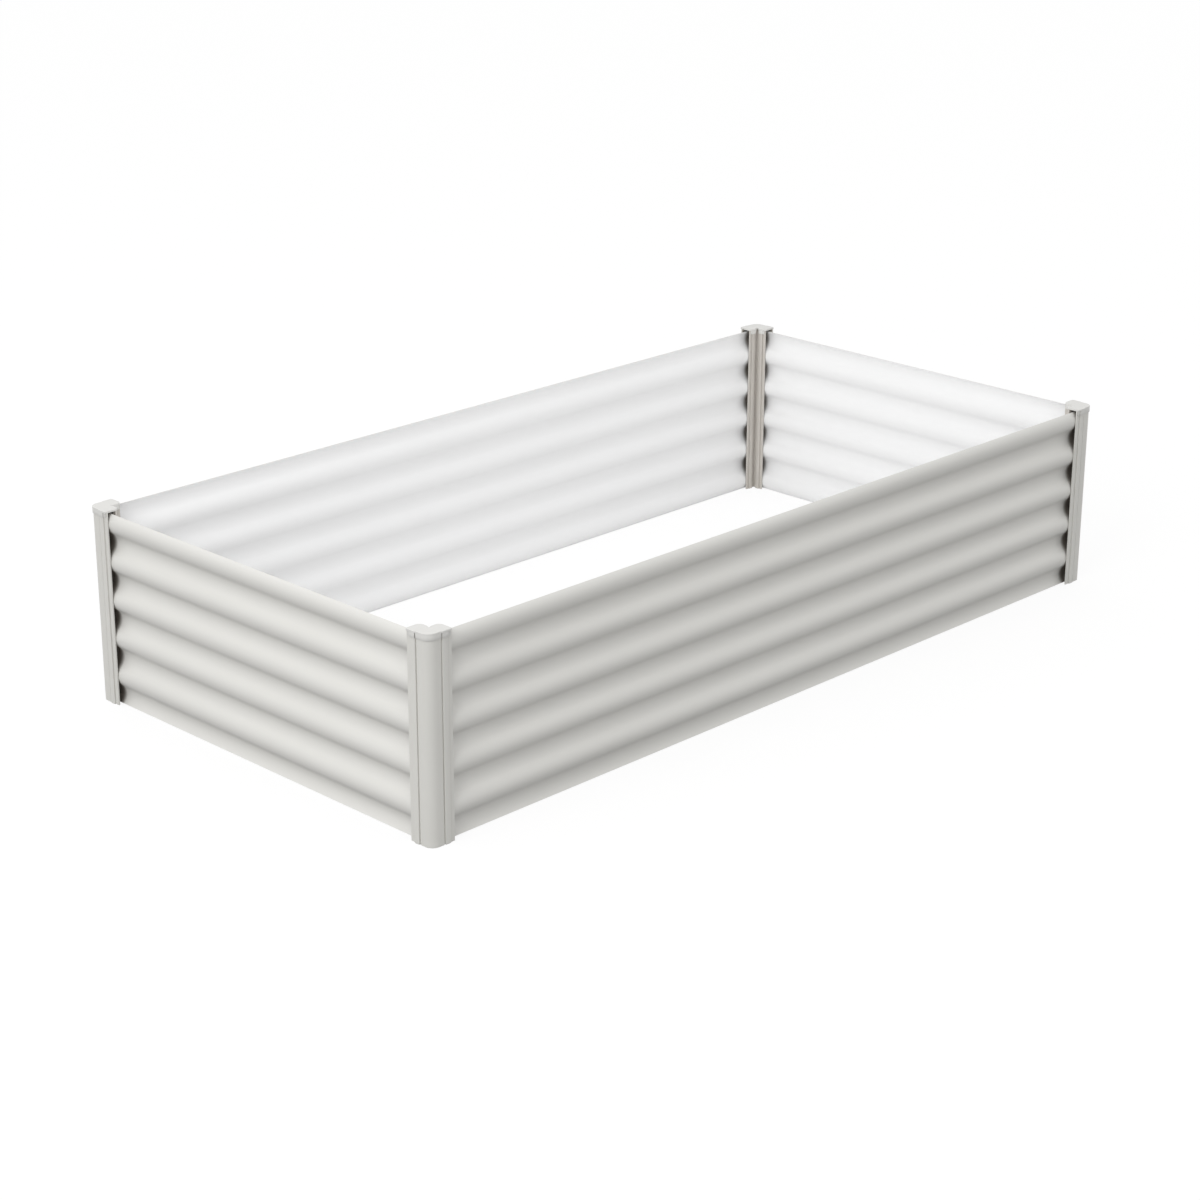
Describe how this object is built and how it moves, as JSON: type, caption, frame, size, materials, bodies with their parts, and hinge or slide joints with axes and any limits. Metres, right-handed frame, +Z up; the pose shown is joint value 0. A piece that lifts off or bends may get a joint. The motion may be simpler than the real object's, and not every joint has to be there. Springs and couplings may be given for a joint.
{
  "type": "raised garden bed",
  "caption": "Rectangular open-bottomed garden bed of painted corrugated steel panels held in slotted corner posts, each post under a moulded cap.",
  "frame": {"origin": "centre of the bed on the ground", "axes": "+X along the long panels, +Y across the bed along the short panels, +Z up"},
  "size_m": [1.884, 0.948, 0.3894],
  "materials": {
    "panel_paint": "satin off-white paint",
    "post_paint": "satin off-white powder coat",
    "cap_plastic": "fine satin moulding"
  },
  "bodies": {
    "root": {"panel_long_back": "panel_paint", "panel_long_front": "panel_paint", "panel_short_left": "panel_paint", "panel_short_right": "panel_paint", "post_back_right": "post_paint", "post_back_left": "post_paint", "post_front_left": "post_paint", "post_front_right": "post_paint", "cap_back_right": "cap_plastic", "cap_back_left": "cap_plastic", "cap_front_left": "cap_plastic", "cap_front_right": "cap_plastic"}
  },
  "joints": []
}
